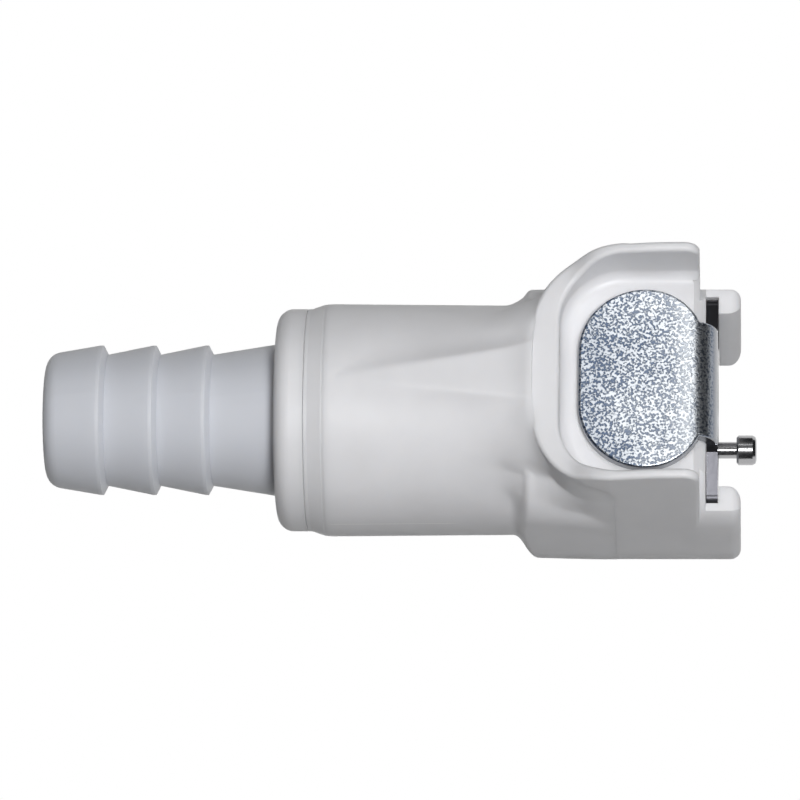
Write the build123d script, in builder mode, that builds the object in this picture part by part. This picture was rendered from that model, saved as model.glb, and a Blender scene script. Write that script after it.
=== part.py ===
# Quick-disconnect hose barb fitting: a valved coupling body with a thumb latch, in millimetres.
# X runs along the flow axis and out of the socket, Z points up through the thumb pad,
# and the origin is on the axis at the socket's mouth. The latch is down and its pin is out.
import os
from math import cos, pi, sin

from build123d import *

os.makedirs("parts", exist_ok=True)

# driving sizes: radii from the flow axis, and steps from one surface to the next
barb_valley_radius = 4.98  # the barb's smallest radius, which follows from the hose
body_over_barb = 3.65      # from there out to the main cylinder, at its front end
body_swell = 0.13          # how much wider it is at its back end
housing_step = 0.84        # from the cylinder out to the housing's upright sides
housing_taper = 0.22       # how much the sides draw in at the housing's back
shoulder_step = 0.43       # from the sides out to the rounded shoulders
shoulder_corner = 6.0      # smaller round where the shoulders turn into the sides
underside_step = 1.07      # from the cylinder down to the flat underside
underside_flat = 6.54      # width of the flat underside at its front
soft_radius = 0.9          # rounding of the body's outer corners and of the recess's floor
edge = 0.12                # small rounding of turned edges
seam = 0.04                # edges broken along the weld between body and barb terminal

prong_front = 2.62
prong_overlap = 1.3        # how far the prongs reach in over the plate's sides
plate_margin = 1.17        # from the housing's sides in to the plate's flats
plate_round_step = 1.0     # from the plate's flats out to its round lower edge
plate_thickness = 0.85
pin_inset = 3.15           # from the plate's lower edge up to the release pin
pin_to_bore = 1.75         # from the pin's middle up to the socket
pin_head_radius = 1.14
pin_neck_radius = 0.635
pin_body_radius = 0.95
pin_guide_radius = 1.15

socket_depth = 10.4
ring_groove_depth = 1.2
ring_groove_front = -6.4
ring_groove_width = 2.0
seat_step = 1.4            # from the socket in to the valve's seat
seat_length = 1.6
chamber_wall = 3.23        # moulded wall round the valve's chamber

flare_start = -14.17       # where the back of the housing rises from the cylinder
body_back = -30.1          # where the barb's collar is welded on
collar_step = 0.34         # from the cylinder in to the collar
collar_length = 2.3
spigot_length = 8.1        # how far the barb terminal reaches into the body
barb_ridge_rise = 0.69
barb_wall = 1.68
barb_pitch = 4.0
barb_first_ridge = 4.2     # from the barb's tip to its first ridge
barb_length = 17.6

guard_front = -0.45
guard_back = -13.32
guard_wall = 0.75          # thickness of the guard's upright sides
guard_low = 0.2            # the guard's rim over the shoulders, at the back
guard_rise = 2.5           # the same at its front ends
rim_round = 0.3
recess_back = -10.9
recess_corner = 4.8
pad_drop = 1.3             # from the top of the shoulders down to the thumb pad
pad_side_gap = 1.55        # from the pad's edge out to the recess's sides
pad_back_gap = 1.4
pad_corner = 5.0
pad_front_corner = 4.44
pad_round = 0.2            # rounding of the pad's upper edge
neck_half_width = 4.6
bend_outer = 2.0

# fits
slide_gap = 0.05           # between parts that slide on each other
press_gap = 0.02           # between parts welded or seated together
latch_travel = 1.6
pin_travel = 1.2
valve_travel = 2.2

beyond = 2.5               # how far cutting bodies reach past the part

# places and sizes that follow
body_radius = barb_valley_radius + body_over_barb
body_radius_back = body_radius + body_swell
housing_half_width = body_radius + housing_step
housing_round = housing_half_width + shoulder_step
underside_drop = body_radius + underside_step
underside_corner = housing_half_width - underside_flat / 2
cut_half = housing_half_width + beyond
taper_front = guard_back + 5.3
plate_flat = housing_half_width - plate_margin
plate_radius = plate_flat + plate_round_step
pin_height = pin_inset - plate_radius
socket_radius = -pin_height - pin_to_bore
plate_hole_radius = socket_radius + 0.2
plate_back = slide_gap
plate_front = plate_back + plate_thickness
prong_back = plate_front + slide_gap
prong_inner = plate_flat - prong_overlap
prong_bottom = 3.5 - underside_drop
web_inner = plate_flat + slide_gap
pad_top = housing_round - pad_drop
pad_under = pad_top - plate_thickness
floor_height = pad_under - slide_gap
bend_x = plate_front - bend_outer
bend_z = pad_top - bend_outer
shoulder = bend_z - 2.4    # top of the plate's flats, level with the prongs
recess_half = housing_half_width - guard_wall
rim_low = housing_round + guard_low
rim_high = housing_round + guard_rise
pad_half_width = recess_half - pad_side_gap
pad_back = recess_back + pad_back_gap
pad_middle = pad_back + pad_corner
pin_hold = plate_back + 0.3
pin_rear = -2.6
pin_head_back = prong_back + 1.33
pin_tip = pin_head_back + 1.52
pin_hole_depth = -ring_groove_front - 0.6
keyhole_wide = pin_body_radius + 0.1
keyhole_narrow = pin_neck_radius + slide_gap
keyhole_play = 0.5         # rise of the plate before its hole meets the pin's thick part
pocket_x = -3.3
pocket_radius = 2.1
pocket_floor = socket_radius + 0.8
ring_groove_radius = socket_radius + ring_groove_depth
ring_groove_back = ring_groove_front - ring_groove_width
seat_radius = socket_radius - seat_step
seat_back = -socket_depth - seat_length
chamber_radius = body_radius - chamber_wall
boss_radius = seat_radius - 0.4
stem_radius = seat_radius / 3
stem_front = 0.8 - socket_depth
valve_front = seat_back - 1.3
valve_back = valve_front - 1.2
valve_disc_radius = chamber_radius - 1.1
fin_length = 4.0
collar_radius = body_radius_back - collar_step
collar_back = body_back - collar_length
barb_tip = collar_back - barb_length
barb_ridge_radius = barb_valley_radius + barb_ridge_rise
passage_radius = barb_valley_radius - barb_wall
spigot_front = body_back + spigot_length
valve_spring_radius = valve_disc_radius - 0.5


def across(x):
    # plane across the flow axis, with the sketch's x along Y and its y along Z
    return Plane(origin=(x, 0, 0), x_dir=(0, 1, 0), z_dir=(1, 0, 0))


def housing_section(x, half_width, round_radius, drop, corner):
    # shoulders round, sides upright, underside flat
    turn = cos(pi / 4)
    reach = half_width - shoulder_corner
    side_top = ((round_radius - shoulder_corner) ** 2 - reach**2) ** 0.5
    out = round_radius / (round_radius - shoulder_corner)
    rise = 0.5 * (out - 1) * side_top
    arc_mid = (reach + (shoulder_corner**2 - rise**2) ** 0.5, side_top + rise)
    flat = half_width - corner
    low = corner * (1 - turn)
    with BuildSketch(across(x)) as section:
        with BuildLine():
            ThreePointArc((-reach * out, side_top * out), (0, round_radius), (reach * out, side_top * out))
            for side in (-1, 1):
                ThreePointArc((side * reach * out, side_top * out), (side * arc_mid[0], arc_mid[1]),
                              (side * half_width, side_top))
                Line((side * half_width, side_top), (side * half_width, corner - drop))
                ThreePointArc((side * half_width, corner - drop), (side * (half_width - low), low - drop),
                              (side * flat, -drop))
            Line((flat, -drop), (-flat, -drop))
        make_face()
    return section.sketch.face()


def outline(plane, points):
    with BuildSketch(plane) as flat:
        with BuildLine():
            Polyline(*points, close=True)
        make_face()
    return flat.sketch.face()


def guard_plan(z):
    # seen from above: a rounded-square curve round the back, then straight along the housing's sides
    side_start = guard_back + 8.52
    swell = housing_half_width + 0.09
    power = 2.75
    half = []
    for i in range(7):
        turn = pi / 2 * (i / 7)
        half.append((side_start - 8.52 * cos(turn) ** (2 / power), swell * sin(turn) ** (2 / power)))
    last = side_start - 8.52 * (1 - (housing_half_width / swell) ** power) ** (1 / power)
    half.append((last, housing_half_width))
    whole = [(x, -y) for x, y in reversed(half[1:])] + half
    with BuildSketch(Plane.XY.offset(z)) as flat:
        with BuildLine():
            Spline(*whole)
            Line((last, housing_half_width), (guard_front, housing_half_width))
            Line((guard_front, housing_half_width), (guard_front, -housing_half_width))
            Line((guard_front, -housing_half_width), (last, -housing_half_width))
        make_face()
    return flat.sketch.face()


def ramp_section(x, half_top, top, half_base, base):
    # flat top and hollow flanks
    mid = (half_top * 0.46 + half_base * 0.54, top * 0.46 + base * 0.54 - 0.16 * (half_base - half_top) / 4)
    with BuildSketch(across(x)) as section:
        with BuildLine():
            Line((-half_top, top), (half_top, top))
            ThreePointArc((half_top, top), mid, (half_base, base))
            Line((half_base, base), (half_base, 3))
            Line((half_base, 3), (-half_base, 3))
            Line((-half_base, 3), (-half_base, base))
            ThreePointArc((-half_base, base), (-mid[0], mid[1]), (-half_top, top))
        make_face()
    return section.sketch.face()


def turned(points):
    # solid turned round the flow axis from a half outline in X and radius
    with BuildPart() as solid:
        revolve(outline(Plane.XZ, points), axis=Axis.X)
    return solid.part


# latch housing: narrower at the back, its back end cut to a cone, and rounded where it meets the cylinder
housing_back = flare_start - 0.83
with BuildPart() as housing:
    front_section = housing_section(taper_front, housing_half_width, housing_round, underside_drop,
                                    underside_corner)
    extrude(front_section, amount=prong_front - taper_front)
    loft(
        sections=[
            housing_section(housing_back, housing_half_width - housing_taper, housing_round, underside_drop,
                            underside_corner),
            front_section,
        ],
        ruled=True,
    )
    # the cone rises 1.73 mm for each mm along the axis
    cone_start = flare_start - 0.577 * 4
    cone_rise = 6.0
    add(
        turned([
            (cone_start, body_radius - 4),
            (flare_start + 0.577 * cone_rise, body_radius + cone_rise),
            (prong_front + 1, body_radius + cone_rise),
            (prong_front + 1, 0),
            (cone_start, 0),
        ]),
        mode=Mode.INTERSECT,
    )
    fillet(housing.edges().filter_by_position(Axis.X, flare_start - 0.1, flare_start + 2.2), soft_radius)
    fillet(housing.edges().filter_by_position(Axis.X, prong_front - 0.01, prong_front + 0.01), 0.8)

with BuildPart() as cylinder:
    add(
        turned([
            (body_back, 0), (body_back, collar_radius - seam), (body_back + seam, collar_radius),
            (body_back + 0.3, collar_radius), (body_back + 1.3, body_radius_back),
            (flare_start + 1.67, body_radius), (flare_start + 1.67, 0),
        ])
    )

# recess for the thumb pad
with BuildPart() as recess:
    corner = recess_corner
    with BuildSketch(Plane.XY.offset(floor_height)):
        with BuildLine():
            Line((2, -recess_half), (recess_back + corner, -recess_half))
            ThreePointArc(
                (recess_back + corner, -recess_half),
                (recess_back + corner * (1 - cos(pi / 4)), corner * (1 - cos(pi / 4)) - recess_half),
                (recess_back, corner - recess_half),
            )
            Line((recess_back, corner - recess_half), (recess_back, recess_half - corner))
            ThreePointArc(
                (recess_back, recess_half - corner),
                (recess_back + corner * (1 - cos(pi / 4)), recess_half - corner * (1 - cos(pi / 4))),
                (recess_back + corner, recess_half),
            )
            Line((recess_back + corner, recess_half), (2, recess_half))
            Line((2, recess_half), (2, -recess_half))
        make_face()
    extrude(amount=8)
    round_edges = recess.edges().filter_by_position(Axis.Z, floor_height - 0.1, floor_height + 0.1)
    fillet([e for e in round_edges if e.center().X < 1.9], soft_radius)

# guard: a U-shaped wall round the pad, its rim low at the back and rising to the sides
with BuildPart() as guard:
    extrude(guard_plan(0.5), amount=rim_high)
    with BuildSketch(Plane.XZ.offset(-cut_half)):
        with BuildLine():
            rim = rim_high - rim_low
            crest = [(guard_back - 3, rim_low - 0.1), (recess_back, rim_low)]
            crest += [(recess_back + 0.8, rim_low + 0.07 * rim), (recess_back + 2.45, rim_low + 0.58 * rim)]
            crest += [(recess_back + 4.9, rim_low + 0.86 * rim), (guard_front - 1.2, rim_high)]
            Spline(*crest, tangents=[(1, 0.02), (1, 0)])
            RadiusArc(crest[-1], (guard_front, rim_high - 1.2), 1.2)
            Polyline((guard_front, rim_high - 1.2), (guard_front + 1, rim_high - 1.2),
                     (guard_front + 1, rim_high + 2), (guard_back - 3, rim_high + 2), crest[0])
        make_face()
    extrude(amount=2 * cut_half, mode=Mode.SUBTRACT)
    add(recess.part, mode=Mode.SUBTRACT)
    fillet([e for e in guard.edges() if e.bounding_box().max.Z > rim_low - 0.05], rim_round)

# front prongs: two ears that hold the plate from the front, open between them
with BuildPart() as ears:
    top_round = 0.75
    with BuildSketch(Plane.XZ.offset(-cut_half)):
        with BuildLine():
            Line((-1, shoulder), (prong_front - top_round, shoulder))
            RadiusArc((prong_front - top_round, shoulder), (prong_front, shoulder - top_round), top_round)
            Line((prong_front, shoulder - top_round), (prong_front, prong_bottom + soft_radius))
            RadiusArc((prong_front, prong_bottom + soft_radius), (prong_front - soft_radius, prong_bottom),
                      soft_radius)
            Line((prong_front - soft_radius, prong_bottom), (-1, prong_bottom))
            Line((-1, prong_bottom), (-1, shoulder))
        make_face()
    extrude(amount=2 * cut_half)
    # way in for the insert, its lips rounded, and the slot the plate slides in
    with BuildSketch(Plane.XY.offset(-cut_half)):
        with BuildLine():
            lip = prong_inner + 1.0
            bulge = 1.0 - cos(pi / 4)
            Line((-2, -prong_inner), (prong_front - 1.0, -prong_inner))
            ThreePointArc((prong_front - 1.0, -prong_inner), (prong_front - bulge, -prong_inner - bulge),
                          (prong_front, -lip))
            Line((prong_front, -lip), (prong_front + 1, -lip))
            Line((prong_front + 1, -lip), (prong_front + 1, lip))
            Line((prong_front + 1, lip), (prong_front, lip))
            ThreePointArc((prong_front, lip), (prong_front - bulge, prong_inner + bulge),
                          (prong_front - 1.0, prong_inner))
            Line((prong_front - 1.0, prong_inner), (-2, prong_inner))
            Line((-2, prong_inner), (-2, -prong_inner))
        make_face()
    extrude(amount=2 * cut_half, mode=Mode.SUBTRACT)
    slot = [(-2, -web_inner), (prong_back, -web_inner), (prong_back, web_inner), (-2, web_inner)]
    extrude(outline(Plane.XY.offset(-cut_half), slot), amount=2 * cut_half, mode=Mode.SUBTRACT)
with BuildPart() as front_cut:
    extrude(outline(across(0), [(-cut_half, -cut_half), (cut_half, -cut_half), (cut_half, rim_high + beyond),
                              (-cut_half, rim_high + beyond)]), amount=prong_front + 1)
    add(ears.part, mode=Mode.SUBTRACT)

with BuildPart() as coupling_body:
    add(housing.part)
    add(cylinder.part)
    join = coupling_body.edges().filter_by_position(Axis.X, flare_start - 0.3, flare_start + 0.3)
    fillet(join, soft_radius)
    # ramp from the cylinder's top up to the guard
    ramp_back = ramp_section(body_back + 1.9, 0.1, body_radius + 0.05, 2.4, body_radius - 0.43)
    ramp_front = ramp_section(flare_start + 1.3, 2.2, housing_round + 0.08, 6.2, housing_round - 3.7)
    loft(sections=[ramp_back, ramp_front], ruled=True)
    add(recess.part, mode=Mode.SUBTRACT)
    add(guard.part)
    add(front_cut.part, mode=Mode.SUBTRACT)
    # round bores along the flow axis: socket, its ring groove, valve seat and valve chamber
    add(
        turned([
            (1, 0), (1, socket_radius + 0.2), (0, socket_radius + 0.2), (-0.2, socket_radius),
            (ring_groove_front, socket_radius), (ring_groove_front, ring_groove_radius),
            (ring_groove_back, ring_groove_radius), (ring_groove_back, socket_radius),
            (-socket_depth, socket_radius), (-socket_depth, seat_radius), (seat_back, seat_radius),
            (seat_back, chamber_radius), (body_back - 1, chamber_radius), (body_back - 1, 0),
        ]),
        mode=Mode.SUBTRACT,
    )
    # hole for the release pin, pocket for the latch spring, and the corner the plate's bend turns round
    with BuildSketch(across(0.5)):
        with Locations((0, pin_height)):
            Circle(pin_guide_radius + slide_gap)
    extrude(amount=-(0.5 + pin_hole_depth), mode=Mode.SUBTRACT)
    with BuildSketch(Plane.XY.offset(pocket_floor)):
        with Locations((pocket_x, 0)):
            Circle(pocket_radius)
    extrude(amount=5, mode=Mode.SUBTRACT)
    extrude(outline(Plane.XZ.offset(-recess_half), [(0.1, floor_height - 1.0), (0.1, floor_height + 0.1),
                                                    (-1.0, floor_height + 0.1)]),
            amount=2 * recess_half, mode=Mode.SUBTRACT)
coupling_body.part.label = "coupling_body"
export_step(coupling_body.part, "parts/coupling_body.step")

# barb terminal: collar, spigot that closes the valve chamber, and a hose barb with three ridges
ridges = [barb_tip + barb_first_ridge + barb_pitch * i for i in range(3)]
barb_line = [(barb_tip, passage_radius), (barb_tip, barb_valley_radius)]
for x in ridges:
    barb_line += [(x - edge, barb_ridge_radius), (x + edge, barb_ridge_radius)]
    barb_line += [(x + 4 * edge, barb_valley_radius)]
barb_line += [
    (collar_back, barb_ridge_radius + 0.1), (collar_back, collar_radius),
    (body_back - press_gap - seam, collar_radius), (body_back - press_gap, collar_radius - seam),
    (body_back - press_gap, chamber_radius - press_gap), (spigot_front, chamber_radius - press_gap),
    (spigot_front, passage_radius),
]
with BuildPart() as hose_barb:
    add(turned(barb_line))
    fillet(hose_barb.edges().filter_by_position(Axis.X, barb_tip - 0.01, barb_tip + 0.01).sort_by(
        lambda e: e.length)[-1:], 1.25)
    fillet(hose_barb.edges().filter_by_position(Axis.X, collar_back - 0.01, collar_back + 0.01).sort_by(
        lambda e: e.length)[-1:], 1.2)
hose_barb.part.label = "hose_barb"
export_step(hose_barb.part, "parts/hose_barb.step")

# thumb pad: its side view, trimmed to its outline from above
with BuildPart() as thumb_pad:
    half = cos(pi / 4)
    inner_r = bend_outer - plate_thickness
    with BuildSketch(Plane.XZ.offset(-cut_half)):
        with BuildLine():
            Line((pad_back - 1, pad_top), (bend_x, pad_top))
            ThreePointArc((bend_x, pad_top), (bend_x + bend_outer * half, bend_z + bend_outer * half),
                          (plate_front, bend_z))
            Line((plate_front, bend_z), (plate_back, bend_z))
            ThreePointArc((plate_back, bend_z), (bend_x + inner_r * half, bend_z + inner_r * half),
                          (bend_x, pad_under))
            Line((bend_x, pad_under), (pad_back - 1, pad_under))
            Line((pad_back - 1, pad_under), (pad_back - 1, pad_top))
        make_face()
    extrude(amount=2 * cut_half)
    back_flat = pad_half_width - pad_corner
    front_y = pad_half_width - pad_front_corner
    neck_x = pad_middle + (pad_front_corner**2 - (neck_half_width - front_y) ** 2) ** 0.5
    with BuildSketch(Plane.XY.offset(bend_z - 1)):
        with BuildLine():
            for side in (-1, 1):
                ThreePointArc((pad_back, side * back_flat),
                              (pad_middle - pad_corner * half, side * (back_flat + pad_corner * half)),
                              (pad_middle, side * pad_half_width))
                front_mid = (pad_middle + pad_front_corner * half, side * (front_y + pad_front_corner * half))
                side_mid = (pad_middle, side * pad_half_width)
                ThreePointArc(side_mid, front_mid, (neck_x, side * neck_half_width))
                Line((neck_x, side * neck_half_width), (plate_front + 1, side * neck_half_width))
            Line((pad_back, -back_flat), (pad_back, back_flat))
            Line((plate_front + 1, -neck_half_width), (plate_front + 1, neck_half_width))
        make_face()
    extrude(amount=4, mode=Mode.INTERSECT)
    # round the pad's upper edge, over the bend as well
    def outside(point):
        if point.X < bend_x + 0.001:
            return abs(point.Z - pad_top) < 0.001
        return abs(((point.X - bend_x) ** 2 + (point.Z - bend_z) ** 2) ** 0.5 - bend_outer) < 0.001

    skin = [e for e in thumb_pad.edges() if outside(e @ 0) and outside(e @ 0.5) and outside(e @ 1)]
    fillet([e for e in skin if abs((e @ 0).Y + (e @ 1).Y) > 0.1 or (e @ 0).X < pad_back + 0.1], pad_round)

# latch plate: stamped disc with flats and a keyhole, bent over into the thumb pad
with BuildPart() as latch_plate:
    with BuildSketch(across(plate_back)):
        with BuildLine():
            low = (plate_radius**2 - plate_flat**2) ** 0.5
            top = bend_z
            ThreePointArc((-plate_flat, -low), (0, -plate_radius), (plate_flat, -low))
            Line((plate_flat, -low), (plate_flat, shoulder - 0.6))
            ThreePointArc((plate_flat, shoulder - 0.6), (plate_flat - 0.18, shoulder - 0.18),
                          (plate_flat - 0.6, shoulder))
            Line((plate_flat - 0.6, shoulder), (neck_half_width, shoulder + 0.9))
            Line((neck_half_width, shoulder + 0.9), (neck_half_width, top))
            Line((neck_half_width, top), (-neck_half_width, top))
            Line((-neck_half_width, top), (-neck_half_width, shoulder + 0.9))
            Line((-neck_half_width, shoulder + 0.9), (0.6 - plate_flat, shoulder))
            ThreePointArc((0.6 - plate_flat, shoulder), (0.18 - plate_flat, shoulder - 0.18),
                          (-plate_flat, shoulder - 0.6))
            Line((-plate_flat, shoulder - 0.6), (-plate_flat, -low))
        make_face()
        Circle(plate_hole_radius, mode=Mode.SUBTRACT)
        # wide end of the keyhole, long enough for the pin's thick part while the latch starts to rise
        with Locations((0, pin_height - keyhole_play / 2)):
            SlotCenterToCenter(keyhole_play, 2 * keyhole_wide, rotation=90, mode=Mode.SUBTRACT)
        with Locations((0, pin_height - (latch_travel + 0.1) / 2)):
            SlotCenterToCenter(latch_travel + 0.1, 2 * keyhole_narrow, rotation=90, mode=Mode.SUBTRACT)
    extrude(amount=plate_thickness)
    # thumb pad, bent over the housing's front corner
    add(thumb_pad.part)
latch_plate.part.label = "latch_plate"
export_step(latch_plate.part, "parts/latch_plate.step")

# release pin: guided rear part, thick part that holds the plate down, neck and head
with BuildPart() as release_pin:
    pin_line = [
        (pin_rear, 0), (pin_rear, pin_guide_radius - 0.15), (pin_rear + 0.15, pin_guide_radius),
        (0, pin_guide_radius), (0, pin_body_radius), (pin_hold, pin_body_radius),
        (pin_hold + 0.1, pin_neck_radius), (pin_head_back, pin_neck_radius),
        (pin_head_back, pin_head_radius - 0.15), (pin_head_back + 0.15, pin_head_radius),
        (pin_tip - 0.3, pin_head_radius), (pin_tip - 0.08, pin_head_radius - 0.12),
        (pin_tip, pin_head_radius - 0.35), (pin_tip, 0),
    ]
    plane = Plane(origin=(0, 0, pin_height), x_dir=(1, 0, 0), z_dir=(0, -1, 0))
    revolve(outline(plane, pin_line), axis=Axis((0, 0, pin_height), (1, 0, 0)))
release_pin.part.label = "release_pin"
export_step(release_pin.part, "parts/release_pin.step")


def coil(start, direction, length, radius, wire, turns):
    # coil spring from start along direction, its wire's centre line kept inside the stated length
    pitch = (length - wire * 2.0) / turns
    begin = tuple(a + b * wire for a, b in zip(start, direction))
    side = (0, 1, 0)
    plane = Plane(origin=begin, x_dir=side, z_dir=direction)
    path = plane.location * Helix(pitch=pitch, height=pitch * turns, radius=radius)
    with BuildPart() as spring:
        with BuildSketch(Plane(origin=path @ 0, x_dir=side, z_dir=path % 0)) as end:
            RegularPolygon(wire, 6)
        sweep(sections=end.sketch, path=path, is_frenet=True)
    return spring.part


latch_spring_length = pad_under - pocket_floor - 2 * press_gap
latch_spring = coil((pocket_x, 0, pocket_floor + press_gap), (0, 0, 1), latch_spring_length,
                    pocket_radius - 0.45, 0.19, 4)
latch_spring.label = "latch_spring"
export_step(latch_spring, "parts/latch_spring.step")

pin_spring_length = pin_hole_depth + pin_rear - 2 * press_gap
pin_spring = coil((-pin_hole_depth + press_gap, 0, pin_height), (1, 0, 0), pin_spring_length, 0.85, 0.12, 6)
pin_spring.label = "pin_spring"
export_step(pin_spring, "parts/pin_spring.step")

valve_spring = coil((spigot_front + press_gap, 0, 0), (1, 0, 0), valve_back - spigot_front - 2 * press_gap,
                    valve_spring_radius, 0.25, 5)
valve_spring.label = "valve_spring"
export_step(valve_spring, "parts/valve_spring.step")

# poppet: front stem that the insert pushes, boss in the seat, disc, and four fins that run in the chamber
with BuildPart() as valve_poppet:
    add(
        turned([
            (valve_back, 0), (valve_back, valve_disc_radius), (valve_front, valve_disc_radius),
            (valve_front, boss_radius), (seat_back + 0.9, boss_radius), (seat_back + 1.1, boss_radius - 0.2),
            (seat_back + 1.1, stem_radius), (stem_front, stem_radius), (stem_front, 0),
        ])
    )
    with BuildSketch(across(valve_back - fin_length)):
        fin_inner = valve_disc_radius - 0.15
        fin_outer = chamber_radius - slide_gap
        with PolarLocations((fin_inner + fin_outer) / 2, 4, start_angle=45):
            Rectangle(fin_outer - fin_inner, 0.9)
    extrude(amount=fin_length + 0.8)
valve_poppet.part.label = "valve_poppet"
export_step(valve_poppet.part, "parts/valve_poppet.step")

with BuildPart() as valve_o_ring:
    ring_wire = (seat_back - valve_front) / 2 - press_gap
    with BuildSketch(Plane.XZ):
        with Locations((seat_back - ring_wire - press_gap, boss_radius + press_gap + ring_wire)):
            Circle(ring_wire)
    revolve(axis=Axis.X)
valve_o_ring.part.label = "valve_o_ring"
export_step(valve_o_ring.part, "parts/valve_o_ring.step")

with BuildPart() as socket_o_ring:
    wire = (ring_groove_radius - socket_radius) / 2 + 0.12
    with BuildSketch(Plane.XZ):
        with Locations(((ring_groove_front + ring_groove_back) / 2, ring_groove_radius - press_gap - wire)):
            Circle(wire)
    revolve(axis=Axis.X)
socket_o_ring.part.label = "socket_o_ring"
export_step(socket_o_ring.part, "parts/socket_o_ring.step")
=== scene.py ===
import math

import bpy
import numpy as np
from mathutils import Matrix, Vector


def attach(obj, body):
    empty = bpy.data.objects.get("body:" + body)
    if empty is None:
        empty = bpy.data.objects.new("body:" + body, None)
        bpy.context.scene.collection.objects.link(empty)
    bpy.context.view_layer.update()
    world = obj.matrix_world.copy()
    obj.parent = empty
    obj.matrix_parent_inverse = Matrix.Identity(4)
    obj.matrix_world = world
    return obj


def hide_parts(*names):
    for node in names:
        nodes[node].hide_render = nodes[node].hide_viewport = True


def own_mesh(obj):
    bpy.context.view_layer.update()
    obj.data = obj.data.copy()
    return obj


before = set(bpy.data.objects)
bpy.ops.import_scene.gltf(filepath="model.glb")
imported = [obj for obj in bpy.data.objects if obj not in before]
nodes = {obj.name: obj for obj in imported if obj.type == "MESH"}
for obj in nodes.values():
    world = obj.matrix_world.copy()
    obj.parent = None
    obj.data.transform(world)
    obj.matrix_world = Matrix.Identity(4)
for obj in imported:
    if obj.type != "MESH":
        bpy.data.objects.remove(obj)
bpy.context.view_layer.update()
print("frame loaded")


def addNode(tree, kind, settings={}, sockets={}, output=0):
    # one shader node: its settings first, then the values or links of its sockets, by name or number
    node = tree.nodes.new(kind)
    for key, value in settings.items():
        setattr(node, key, value)
    for key, value in sockets.items():
        if isinstance(value, Wire):
            tree.links.new(value.socket, node.inputs[key])
        else:
            node.inputs[key].default_value = value
    return Wire(tree, node.outputs[output])


class Wire:
    # a node's output that sums can be written with, as in 1 - wire * 2
    def __init__(self, tree, socket):
        self.tree = tree
        self.socket = socket

    def calculate(self, operation, *values):
        return addNode(self.tree, "ShaderNodeMath", {"operation": operation}, dict(enumerate(values)))

    def __add__(self, other):
        return self.calculate("ADD", self, other)

    def __sub__(self, other):
        return self.calculate("SUBTRACT", self, other)

    def __rsub__(self, other):
        return self.calculate("SUBTRACT", other, self)

    def __mul__(self, other):
        return self.calculate("MULTIPLY", self, other)

    def abs(self):
        return self.calculate("ABSOLUTE", self)

    def clip(self):
        # kept between 0 and 1
        return self.calculate("MAXIMUM", self.calculate("MINIMUM", self, 1.0), 0.0)

    def ramp(self, low, high, start=0.0, end=1.0):
        # start up to low, end from high on, and an even slide between
        sockets = {0: self, 1: low, 2: high, 3: start, 4: end}
        return addNode(self.tree, "ShaderNodeMapRange", {"clamp": True}, sockets)

    __radd__ = __add__
    __rmul__ = __mul__


class Surface:
    # a material with a Principled shader whose inputs are set by name
    def __init__(self, name):
        self.material = bpy.data.materials.new(name)
        self.material.use_nodes = True
        self.tree = self.material.node_tree
        self.shader = self.tree.nodes["Principled BSDF"]

    def place(self, kind="Object"):
        return addNode(self.tree, "ShaderNodeTexCoord", output=kind)

    def split(self, kind):
        # the x, y and z of the object's coordinates or of its normals
        node = addNode(self.tree, "ShaderNodeSeparateXYZ", sockets={0: self.place(kind)}).socket.node
        return [Wire(self.tree, output) for output in node.outputs]

    def noise(self, scale, detail=2.0, rough=0.5, squash=(1, 1, 1)):
        moved = addNode(self.tree, "ShaderNodeMapping", sockets={"Vector": self.place(), "Scale": squash})
        sockets = {"Vector": moved, "Scale": scale, "Detail": detail, "Roughness": rough}
        return addNode(self.tree, "ShaderNodeTexNoise", sockets=sockets)

    def mix(self, amount, first, second):
        # Mix in its colour form keeps its factor in socket 0 and its colours in 6 and 7
        sockets = {0: amount, 6: first, 7: second}
        return addNode(self.tree, "ShaderNodeMix", {"data_type": "RGBA"}, sockets, output=2)

    def bump(self, height, strength, distance):
        sockets = {"Strength": strength, "Distance": distance, "Height": height}
        self.set(Normal=addNode(self.tree, "ShaderNodeBump", sockets=sockets))

    def set(self, **values):
        for key, value in values.items():
            slot = self.shader.inputs[key.replace("_", " ")]
            if isinstance(value, Wire):
                self.tree.links.new(value.socket, slot)
            else:
                slot.default_value = value


bodyFinish = {
    "tint": (0.83, 0.83, 0.85),
    "tintRange": (0.965, 1.02),    # how the clouding darkens and lightens the tint
    "cloudScale": 160,
    "cloudDetail": 3.0,
    "cloudEdges": (0.35, 0.65),
    "barbTint": (0.6882, 0.7068, 0.7533),
    "barbFrom": -0.0326,           # where the collar ends and the barb's cooler tone starts
    "barbEdge": 0.0002,
    "partingHeight": 0.0008,
    "partingWidth": (0.00003, 0.00007),
    "partingBack": (-0.0285, -0.028),
    "partingFront": (-0.0195, -0.0185),
    "partingSide": (0.85, 0.95),   # how far sideways a face looks where the line shows
    # painted highlight: how far the mould's line is mixed towards white in the colour
    "partingHighlightTint": (1, 1, 1, 1),
    "partingHighlightAmount": 0.7,
    "rough": (0.42, 0.49),
    "roughScale": 900,
    "roughEdges": (0.3, 0.7),
    "sheen": 0.08,
    "sheenRough": 0.12,
    "grain": 0.25,
    "grainScale": 3800,
    "grainAmount": 0.3,
    "grainDepth": 0.00002,
    "refraction": 1.48,
    "lightInside": 0.5,            # share of the light that wanders through the plastic, and how far
    "lightReach": 0.0012,
    "lightSpread": (1.0, 0.95, 0.9),
}


def shaded(tint, factor):
    return tuple(channel * factor for channel in tint) + (1,)


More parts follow.
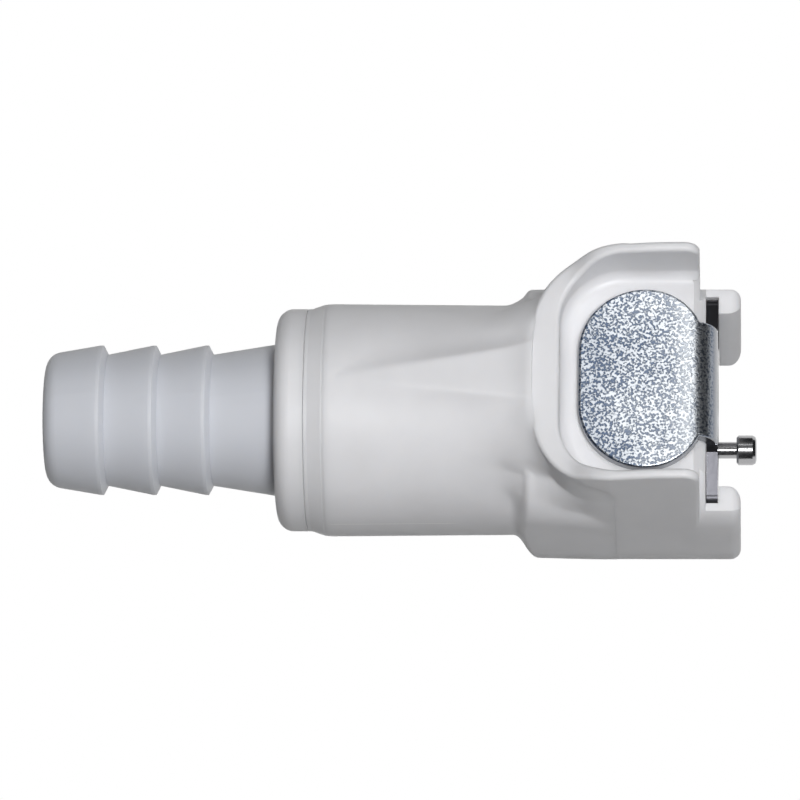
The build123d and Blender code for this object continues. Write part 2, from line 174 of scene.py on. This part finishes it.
def acetal(name, finish):
    # moulded acetal: satin skin, faint clouding, a thin clear sheen, and the mould's line at mid height, a
    # real ridge in the bump with a painted white highlight along it in the colour
    surface = Surface(name)
    x, _, z = surface.split("Object")
    side = surface.split("Normal")[1].abs()
    deep, pale = [shaded(finish["tint"], factor) for factor in finish["tintRange"]]
    cloud = surface.noise(finish["cloudScale"], finish["cloudDetail"]).ramp(*finish["cloudEdges"])
    tone = surface.mix(cloud, deep, pale)
    barb = x.ramp(finish["barbFrom"] - finish["barbEdge"], finish["barbFrom"] + finish["barbEdge"], 1.0, 0.0)
    tone = surface.mix(barb, tone, shaded(finish["barbTint"], 1))
    # the mould's line: a real ridge in the bump, and a painted highlight that whitens the colour along it
    partingRidgeAndHighlight = (z - finish["partingHeight"]).abs().ramp(*finish["partingWidth"], 1.0, 0.0)
    partingRidgeAndHighlight = partingRidgeAndHighlight * side.ramp(*finish["partingSide"])
    partingRidgeAndHighlight = partingRidgeAndHighlight * x.ramp(*finish["partingFront"], 1.0, 0.0) * x.ramp(*finish["partingBack"])
    surface.set(
        Base_Color=surface.mix(partingRidgeAndHighlight * finish["partingHighlightAmount"], tone, finish["partingHighlightTint"]),
        Roughness=surface.noise(finish["roughScale"]).ramp(*finish["roughEdges"], *finish["rough"]),
        IOR=finish["refraction"],
        Coat_Weight=finish["sheen"],
        Coat_Roughness=finish["sheenRough"],
        Subsurface_Weight=finish["lightInside"],
        Subsurface_Radius=finish["lightSpread"],
        Subsurface_Scale=finish["lightReach"],
    )
    grain = surface.noise(finish["grainScale"]) * finish["grainAmount"]
    surface.bump(grain + partingRidgeAndHighlight, finish["grain"], finish["grainDepth"])
    return surface.material


padFinish = {
    "padTop": 0.0086,
    "topFacing": (0.3, 0.6),          # how far upwards a face looks where the mottling fades in
    "padEdge": (-0.0012, -0.0008),    # how far under its top the mottling fades out
    "padBack": -0.0095,
    "bendStart": -0.0011,
    "highlightPlace": -0.0014,             # painted highlight: a brighter band along the start of the bend
    "highlightWidth": 0.0012,
    "highlightAmount": 0.3,
    "bendReflectionFacing": (0.5, 0.92),        # painted reflection: darker where the plate bends down
    "bendReflectionLevels": (0.2, 1.0),
    "fleckScale": 5200,
    "fleckDetail": 1.5,
    "fleckRough": 0.6,
    "fleckEdges": (0.42, 0.54),
    "fleckAmount": 0.8,
    "driftScale": 300,
    "driftEdges": (0.3, 0.7),
    "drift": (-0.12, 0.12),
    "reflectionAlongPad": (-0.3, 0.14),         # painted reflection: darker at the pad's back than at its bend
    "level": 0.12,
    "dark": (0.09, 0.12, 0.18, 1),
    "light": (0.64, 0.67, 0.7, 1),
    "plain": (0.3, 0.31, 0.33, 1),
    "sheared": (0.09, 0.09, 0.1, 1),
    "shearedFacing": (0.5, 0.7),
    "shearedUnder": (0.0062, 0.0066),
    "shearedScale": 2500,
    "rough": 0.2,
    "roughPad": 0.13,
    "roughSheared": 0.2,
    "bumpStrength": 0.25,
    "bumpDepth": 0.00003,
}


def padSteel(finish):
    # pressed stainless: fine mottled grain on the pad's top with a painted highlight at the bend's start and
    # painted reflection darkening its back and its bend, a smoother plate, and dull sheared edges
    surface = Surface("padSteel")
    x, _, z = surface.split("Object")
    nx, _, nz = surface.split("Normal")
    top = nz.ramp(*finish["topFacing"]) * z.ramp(*[finish["padTop"] + step for step in finish["padEdge"]])
    fleck = surface.noise(finish["fleckScale"], finish["fleckDetail"], finish["fleckRough"])
    spots = fleck.ramp(*finish["fleckEdges"])
    drift = surface.noise(finish["driftScale"]).ramp(*finish["driftEdges"], *finish["drift"])
    # painted reflection: the pad's colour darkens towards its back
    along = x.ramp(finish["padBack"], finish["bendStart"], *finish["reflectionAlongPad"])
    # painted highlight: a brighter band across the pad where the bend starts
    paintedHighlight = (x - finish["highlightPlace"]).abs().ramp(0.0, finish["highlightWidth"], finish["highlightAmount"], 0.0)
    # real flecks and random drift, plus the painted reflection and painted highlight
    amount = spots * finish["fleckAmount"] + drift + along + paintedHighlight + finish["level"]
    # painted reflection: the mottled colour darkens as the face turns down into the bend
    amount = (amount * nz.ramp(*finish["bendReflectionFacing"], *finish["bendReflectionLevels"])).clip()
    pebbledAndReflection = surface.mix(amount, finish["dark"], finish["light"])
    sheared = nx.abs().ramp(*finish["shearedFacing"], 1.0, 0.0) * z.ramp(*finish["shearedUnder"], 1.0, 0.0)
    plain = surface.mix(sheared, finish["plain"], finish["sheared"])
    surface.set(
        Base_Color=surface.mix(top, plain, pebbledAndReflection),
        Metallic=1.0,
        Roughness=top * finish["roughPad"] + finish["rough"] + sheared * finish["roughSheared"],
    )
    pits = spots * top + sheared * surface.noise(finish["shearedScale"])
    surface.bump(pits, finish["bumpStrength"], finish["bumpDepth"])
    return surface.material


plainFinish = {
    "pinTint": 0.4,
    "pinRough": 0.16,
    "springTint": 0.6,
    "springRough": 0.25,
    "blue": 1.02,                     # a little more blue than red and green
    "grainScale": 5000,
    "grainSquash": (1, 12, 12),
    "grainEdges": (0.3, 0.7),
    "roughRange": 0.06,
}


def plainSteel(name, tint, rough, finish):
    # drawn or turned steel, with a fine grain that runs along x
    surface = Surface(name)
    fine = surface.noise(finish["grainScale"], squash=finish["grainSquash"])
    surface.set(
        Base_Color=(tint, tint, tint * finish["blue"], 1),
        Metallic=1.0,
        Roughness=fine.ramp(*finish["grainEdges"], rough, rough + finish["roughRange"]),
    )
    return surface.material


sealFinish = {
    "tint": (0.02, 0.02, 0.02, 1),
    "rough": 0.55,
}


def rubber(finish):
    surface = Surface("sealRubber")
    surface.set(Base_Color=finish["tint"], Roughness=finish["rough"])
    return surface.material


bodyAcetal = acetal("bodyAcetal", bodyFinish)
springSteel = plainSteel("springSteel", plainFinish["springTint"], plainFinish["springRough"], plainFinish)
sealRubber = rubber(sealFinish)
finishes = {
    "coupling_body": bodyAcetal,
    "hose_barb": bodyAcetal,
    "valve_poppet": bodyAcetal,
    "latch_plate": padSteel(padFinish),
    "release_pin": plainSteel("pinSteel", plainFinish["pinTint"], plainFinish["pinRough"], plainFinish),
    "latch_spring": springSteel,
    "pin_spring": springSteel,
    "valve_spring": springSteel,
    "socket_o_ring": sealRubber,
    "valve_o_ring": sealRubber,
}
bodyEdge = 32    # edges sharper than this many degrees stay crisp
springEdge = 50


def rounded(piece, angle):
    # smooth shading that keeps edges sharper than the angle
    piece.select_set(True)
    bpy.context.view_layer.objects.active = piece
    bpy.ops.object.shade_smooth_by_angle(angle=math.radians(angle))
    piece.select_set(False)


for name, material in finishes.items():
    nodes[name].data.materials.clear()
    nodes[name].data.materials.append(material)
for piece in nodes.values():
    piece.data.shade_smooth()
    rounded(piece, bodyEdge)
print("materials on the frame's nodes")

barrel = {
    # the skin's ends and radii, in millimetres, and places along x
    "backEnd": -28.75,
    "radius": (8.755, 8.63),          # at the back end and where the flare starts
    "flareStart": -14.17,
    "flareRun": 0.577,                # run along the axis for each millimetre that the flare rises
    "flareMelt": 0.55,
    "shoulderRound": 9.9,
    "halfWidth": 9.47,
    "taper": 0.22,
    "taperFrom": -15.0,
    "taperTo": -8.02,
    "shoulderCorner": 6.0,
    "undersideDrop": 9.7,
    "undersideCorner": 6.2,
    # ramp: each pair goes from its back to its front
    "rampBack": -28.2,
    "rampFront": -12.87,
    "rampTop": (8.71, 10.01),
    "rampHalf": (0.1, 2.2),
    "rampSteep": (0.35, 1.35),
    "rampFoot": (2.4, 6.2),
    "rampEdge": 0.2,
    "rampSide": 0.3,
    "rampTurn": 1.3,                  # the ramp and the wall end at these angles from the top, in radians
    "wallTurn": 1.5,
    "rampMelt": (0.04, 0.84),
    "rampMeltFrom": -28.5,
    "rampMeltTo": -22.0,
    # guard: its curve in plan, and its outer wall
    "guardBack": -13.32,
    "guardDepth": 8.52,
    "guardPower": 2.75,
    "guardOver": 0.09,                # how much wider the curve is than the housing
    "guardTuck": 0.4,
    "cornerMelt": 1.2,
    "rimFoot": 9.8,                   # height at which the sweep meets the guard's wall
    "wallMelt": 0.1,
    "wallMeltMore": 1.6,
    "wallFadeIn": (0.45, 0.75),
    "wallFadeOut": (1.0, 1.25),
    "planFade": (8.2, 9.3),
    # sweep from the barrel up to the guard
    "sweepBack": -23.8,
    "sweepFront": -11.8,
    "sweepFrontMelt": 2.0,
    "sweepPower": 2.8,
    "sweepMost": 10.9,                # radius that the sweep's rounded sides keep to
    "sweepFade": (0.42, 1.05),
    "sweepMelt": 1.2,
    "footMelt": 0.75,
    "footMeltMore": 1.6,
    "footFade": (0.85, 1.15),
    "smoothPasses": 150,
    "smoothFade": (0.95, 1.25),
    "plainMelt": 0.05,
    # how far the skin lies over the moulding, and how its ends go under
    "least": 0.003,
    "over": 0.03,
    "overFadeIn": (0, 0.03),
    "overFadeOut": (0.8, 0.98),
    "overTurn": (0.5, 0.75),
    "endTuck": 0.4,
    # rings are square to the axis behind the barrel's front, and fan out to the guard's curve before it
    "barrelFront": -14.6,
    "evenShare": 0.3,                 # share of the rings that are evenly spaced
    "alongSteps": 200,
    "roundSteps": 360,
}
leastCosine = 0.05    # keeps a division by a sine or a cosine in bounds


def softMost(a, b, width):
    # the larger of two, plus a quarter of the width where they are equal, fading out at the width
    near = np.clip(width - np.abs(a - b), 0, None) / width
    return np.maximum(a, b) + near**2 * width / 4


def softLeast(a, b, width):
    return -softMost(-a, -b, width)


def shareOf(value, low, high):
    # 0 up to low, 1 from high on, a straight line between
    return np.clip((value - low) / (high - low), 0, 1)


def slide(value, low, high):
    # 0 up to low, 1 from high on, an S-shaped step between: 3 t^2 - 2 t^3
    t = shareOf(value, low, high)
    return t * t * (3 - 2 * t)


def between(pair, share):
    # the first of the pair at share 0, the second at share 1
    return pair[0] + (pair[1] - pair[0]) * share


def arcReach(direction, centreY, centreZ, radius):
    # how far a ray from the axis runs to the far side of a circle: c.u + sqrt((c.u)^2 - c.c + r^2)
    along = centreY * direction[0] + centreZ * direction[1]
    return along + np.sqrt(np.clip(along**2 - centreY**2 - centreZ**2 + radius**2, 0, None))


def housingReach(size, x, turn):
    # radius of the housing's section at an angle from the top, arc by arc and side by side
    half = size["halfWidth"] - size["taper"] * (1 - shareOf(x, size["taperFrom"], size["taperTo"]))
    corner = size["shoulderCorner"]
    lower = size["undersideCorner"]
    drop = size["undersideDrop"]
    reach = half - corner
    sideTop = np.sqrt((size["shoulderRound"] - corner) ** 2 - reach**2)
    direction = (np.sin(turn), np.cos(turn))
    safeSide = np.where(direction[0] > leastCosine, direction[0], 1)
    safeDown = np.where(direction[1] < -leastCosine, -direction[1], 1)
    sections = [
        # up to which angle, and the radius there: shoulders, corner, side, lower corner; then the underside
        (np.arctan2(reach, sideTop), size["shoulderRound"] + 0 * x),
        (np.arctan2(half, sideTop), arcReach(direction, reach, sideTop, corner)),
        (np.arctan2(half, lower - drop), half / safeSide),
        (np.arctan2(half - lower, -drop), arcReach(direction, half - lower, lower - drop, lower)),
    ]
    inside = [turn < limit for limit, _ in sections]
    return np.select(inside, [radius for _, radius in sections], drop / safeDown)


def guardCurve(size, turn):
    # the guard's wall in plan: x = back + depth * (1 - (1 - (y / half)^power)^(1 / power))
    y = softLeast(size["rimFoot"] * np.tan(np.minimum(turn, 1.0)), size["halfWidth"], size["cornerMelt"])
    bulge = 1 - (y / (size["halfWidth"] + size["guardOver"])) ** size["guardPower"]
    return size["guardBack"] + size["guardDepth"] * (1 - bulge ** (1 / size["guardPower"]))


def ringPlaces(size, lengthShare, end):
    # x of each ring: even steps that die away, while squared steps take the rings on to the guard's curve
    late = shareOf(lengthShare, size["evenShare"], 1)
    even = (2 * lengthShare - (1 - size["evenShare"]) * late**2) / (1 + size["evenShare"])
    return between((size["backEnd"], size["barrelFront"]), even) + (end - size["barrelFront"]) * late**2


def rampReach(size, x, turn, upright):
    # the ramp's top is level across and its flanks are straight lines: r = (top + m * w) / (cos + m * sin)
    climb = shareOf(x, size["rampBack"], size["rampFront"])
    top = between(size["rampTop"], climb)
    half = between(size["rampHalf"], climb)
    steep = between(size["rampSteep"], climb)
    foot = between(size["rampFoot"], climb) / np.maximum(np.sin(turn), leastCosine)
    flank = (top + steep * half) / (upright + steep * np.sin(turn))
    ramp = softLeast(softLeast(top / upright, flank, size["rampEdge"]), foot, size["rampSide"])
    return np.where(turn < size["rampTurn"], ramp, 0)


def wallReach(size, plan, turn, upright):
    # the guard's outer wall stands over its curve in plan, up to the rim's foot
    reach = np.minimum(plan / np.maximum(np.sin(turn), leastCosine), size["rimFoot"] / upright)
    return np.where(turn < size["wallTurn"], reach, 0)


def sweepRise(size, x, turn, upright, wall, cylinder):
    # the sweep rises with a power of the way from its back to the wall, and fades out down the sides
    front = softLeast(wall, size["sweepFront"], size["sweepFrontMelt"])
    way = shareOf(x, size["sweepBack"], front)
    rim = np.minimum(size["rimFoot"] / upright, size["sweepMost"])
    return (rim - cylinder) * (1 - slide(turn, *size["sweepFade"])) * way ** size["sweepPower"]


def smoothed(radius, passes):
    # each pass moves every radius half way to the mean of its four neighbours
    for step in range(passes):
        around = np.roll(radius, 1, axis=1) + np.roll(radius, -1, axis=1)
        along = np.concatenate([2 * radius[:1], radius[:-2] + radius[2:], 2 * radius[-1:]])
        radius = radius / 2 + (around + along) / 8
    return radius


def barrelSurface(size):
    # radius over length and angle from the top: cylinder, flare, sweep, wall and ramp, melted together
    lengthShare, turnShare = np.meshgrid(
        np.linspace(0, 1, size["alongSteps"]),
        np.arange(size["roundSteps"]) / size["roundSteps"],
        indexing="ij",
    )
    angle = turnShare * 2 * math.pi
    turn = np.minimum(angle, 2 * math.pi - angle)
    upright = np.maximum(np.cos(turn), leastCosine)
    curve = guardCurve(size, turn)
    x = ringPlaces(size, lengthShare, curve + size["guardTuck"])
    cylinder = between(size["radius"], shareOf(x, size["backEnd"], size["flareStart"]))
    cone = size["radius"][1] + (x - size["flareStart"]) / size["flareRun"]
    flare = softLeast(housingReach(size, x, turn), cone, size["flareMelt"])
    rise = sweepRise(size, x, turn, upright, curve, cylinder)
    foot = size["footMelt"] + size["footMeltMore"] * (1 - slide(turn, *size["footFade"]))
    sweepMelt = 0.001 + size["sweepMelt"] * slide(rise, 0, 1)
    radius = softMost(softMost(cylinder, flare, foot), cylinder + rise, sweepMelt)
    # half width of the guard's curve at each x: y = half * (1 - u^power)^(1 / power)
    power = size["guardPower"]
    depthShare = 1 - shareOf(x, size["guardBack"], size["guardBack"] + size["guardDepth"])
    plan = (size["halfWidth"] + size["guardOver"]) * (1 - depthShare**power) ** (1 / power)
    plan = np.minimum(plan, size["halfWidth"])
    wall = wallReach(size, plan, turn, upright)
    melt = slide(turn, *size["wallFadeIn"]) * (1 - slide(turn, *size["wallFadeOut"]))
    melt = melt * (1 - slide(plan, *size["planFade"]))
    radius = softMost(radius, wall, size["wallMelt"] + size["wallMeltMore"] * melt)
    # smoothing fills the hollows, and the plain moulding under it stays covered
    plain = softMost(softMost(cylinder, flare, size["footMelt"]), wall, size["wallMelt"])
    filled = (smoothed(radius, size["smoothPasses"]) - radius) * (1 - slide(turn, *size["smoothFade"]))
    radius = softMost(radius + filled, plain, size["plainMelt"])
    rampMelt = between(size["rampMelt"], slide(x, size["rampMeltFrom"], size["rampMeltTo"]))
    radius = softMost(radius, rampReach(size, x, turn, upright), rampMelt)
    fadeOut = slide(lengthShare, *size["overFadeOut"]) * slide(turn, *size["overTurn"])
    radius = radius + size["least"] + size["over"] * slide(lengthShare, *size["overFadeIn"]) * (1 - fadeOut)
    radius[[0, -1]] -= size["endTuck"]
    return np.stack([x, radius * np.sin(angle), radius * np.cos(angle)], axis=-1) / 1000


def gridMesh(name, points, material, capped):
    # a grid of rings as one mesh of quads that face out, with its end rings capped where asked
    rows, columns = points.shape[:2]
    ring = np.arange(rows * columns).reshape(rows, columns)
    index = np.concatenate([ring, ring[:, :1]], axis=1)
    quads = np.stack([index[:-1, :-1], index[1:, :-1], index[1:, 1:], index[:-1, 1:]], axis=-1)
    caps = [ring[0].tolist(), ring[-1, ::-1].tolist()] if capped else []
    mesh = bpy.data.meshes.new(name)
    mesh.from_pydata(points.reshape(-1, 3), [], quads.reshape(-1, 4).tolist() + caps)
    mesh.shade_smooth()
    mesh.materials.append(material)
    piece = bpy.data.objects.new(name, mesh)
    bpy.context.scene.collection.objects.link(piece)
    return piece


bodySkin = gridMesh("bodySkin", barrelSurface(barrel), bodyAcetal, False)
rounded(bodySkin, bodyEdge)
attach(bodySkin, "body")
print("skin over the barrel, ramp and flare")

springs = {
    # start and length of the wire's centre line, radii of coil and wire in millimetres, and the coil's axis
    "latch_spring": dict(start=(-3.3, 0, 5.435), length=2.08, coil=1.65, wire=0.19, turns=4, axis=2),
    "pin_spring": dict(start=(-5.643, 0, -6.15), length=2.886, coil=0.85, wire=0.12, turns=6, axis=0),
    "valve_spring": dict(start=(-21.696, 0, 0), length=6.892, coil=3.8, wire=0.25, turns=5, axis=0),
}


def coilSurface(size, turnSteps=48, wireSteps=14):
    # round wire along a helix: out = coil + wire * cos(ring), rise = length * t / last t + wire * sin(ring)
    t, ring = np.meshgrid(
        np.linspace(0, size["turns"] * 2 * math.pi, size["turns"] * turnSteps + 1),
        np.arange(wireSteps) / wireSteps * 2 * math.pi,
        indexing="ij",
    )
    out = size["coil"] + size["wire"] * np.cos(ring)
    rise = size["length"] * t / t.max() + size["wire"] * np.sin(ring)
    first, second, third = [(size["axis"] + step) % 3 for step in range(3)]
    points = np.zeros(t.shape + (3,))
    points[..., first] = size["start"][first] + rise
    points[..., second] = size["start"][second] + out * np.cos(t)
    points[..., third] = size["start"][third] + out * np.sin(t)
    return points / 1000


for name, size in springs.items():
    wound = gridMesh(name + "Wound", coilSurface(size), springSteel, True)
    rounded(wound, springEdge)
    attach(wound, "body")
    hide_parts(name)
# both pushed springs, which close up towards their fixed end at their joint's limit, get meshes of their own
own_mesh(bpy.data.objects["pin_springWound"])
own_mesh(bpy.data.objects["valve_springWound"])
print("springs wound")

ground = {
    "height": -0.0098,    # in metres, just under the housing's flat underside
    "half": 3,
    "tint": (0.06, 0.06, 0.06, 1),
    "rough": 0.8,
}
corners = [(x * ground["half"], y * ground["half"], 0) for x, y in ((-1, -1), (1, -1), (1, 1), (-1, 1))]
floorMesh = bpy.data.meshes.new("floor")
floorMesh.from_pydata(corners, [], [(0, 1, 2, 3)])
floor = bpy.data.objects.new("floor", floorMesh)
floor.location = (0, 0, ground["height"])
bpy.context.scene.collection.objects.link(floor)
floorLook = Surface("floorLook")
floorLook.set(Base_Color=ground["tint"], Roughness=ground["rough"])
# white to the camera and in reflections, dark to the light that would bounce onto the fitting
tree = floorLook.tree
rays = addNode(tree, "ShaderNodeLightPath").socket.node.outputs
seen = [Wire(tree, rays[kind]) for kind in ("Is Camera Ray", "Is Glossy Ray", "Is Transmission Ray")]
whiteShare = (seen[0] + seen[1] + seen[2]).clip()
white = addNode(tree, "ShaderNodeEmission", sockets={"Color": (1, 1, 1, 1), "Strength": 1.0})
lit = Wire(tree, floorLook.shader.outputs[0])
look = addNode(tree, "ShaderNodeMixShader", sockets={0: whiteShare, 1: lit, 2: white})
tree.links.new(look.socket, tree.nodes["Material Output"].inputs[0])
floorMesh.materials.append(floorLook.material)

view = {
    "tilt": 22,             # degrees from straight above, towards the near side
    "aside": 0.045,         # how far the camera leans towards the mouth
    "distance": 0.6,        # in metres
    "picture": 800,         # pixels across
    "perMillimetre": 13.2,  # pixels to a millimetre at the fitting
    "mouth": (706, 420.3),  # pixel of the socket's mouth on the flow axis
    "sensor": 36,           # millimetres across
}
# the camera is rolled so that the flow axis lies level
tilt = math.radians(view["tilt"])
away = Vector((view["aside"], -math.sin(tilt), math.cos(tilt))).normalized()
right = (Vector((1, 0, 0)) - away * away.x).normalized()
up = away.cross(right)
pixel = 0.001 / view["perMillimetre"]
middle = view["picture"] / 2
target = Vector(((middle - view["mouth"][0]) * pixel, 0, 0)) + up * (view["mouth"][1] - middle) * pixel
camera = bpy.data.objects.new("camera", bpy.data.cameras.new("camera"))
camera.data.sensor_width = view["sensor"]
camera.data.lens = view["sensor"] * view["distance"] / (view["picture"] * pixel)
camera.data.dof.use_dof = False
turned = Matrix((right, up, away)).transposed().to_4x4()
camera.matrix_world = Matrix.Translation(target + away * view["distance"]) @ turned
bpy.context.scene.collection.objects.link(camera)
bpy.context.scene.camera = camera

lamps = {
    # places and sizes in metres, power in watts
    "overhead": {"place": target + away * 0.5 + up * 0.04 + right * 0.09, "size": (0.13, 0.13), "power": 2.0},
    "panel": {"place": (0.0, 0.2, 0.48), "size": (0.16, 0.12), "power": 0.28},
    "low": {"place": (0.18, -0.42, 0.05), "size": (0.16, 0.1), "power": 0.08},
}


def softbox(name, lamp):
    # a rectangular lamp that looks at the picture's middle
    light = bpy.data.objects.new(name, bpy.data.lights.new(name, "AREA"))
    light.data.shape = "RECTANGLE"
    light.data.size, light.data.size_y = lamp["size"]
    light.data.energy = lamp["power"]
    light.location = lamp["place"]
    light.rotation_mode = "QUATERNION"
    light.rotation_quaternion = (Vector(lamp["place"]) - target).to_track_quat("Z", "Y")
    bpy.context.scene.collection.objects.link(light)


for name, lamp in lamps.items():
    softbox(name, lamp)

skyLight = {
    "tint": (0.75, 0.76, 0.8, 1),
    "strength": 0.035,
}
world = bpy.data.worlds.new("studio")
bpy.context.scene.world = world
world.use_nodes = True
sky = world.node_tree.nodes["Background"]
sky.inputs["Color"].default_value = skyLight["tint"]
sky.inputs["Strength"].default_value = skyLight["strength"]
bpy.context.scene.view_settings.view_transform = "Standard"
print("floor, camera and lights")
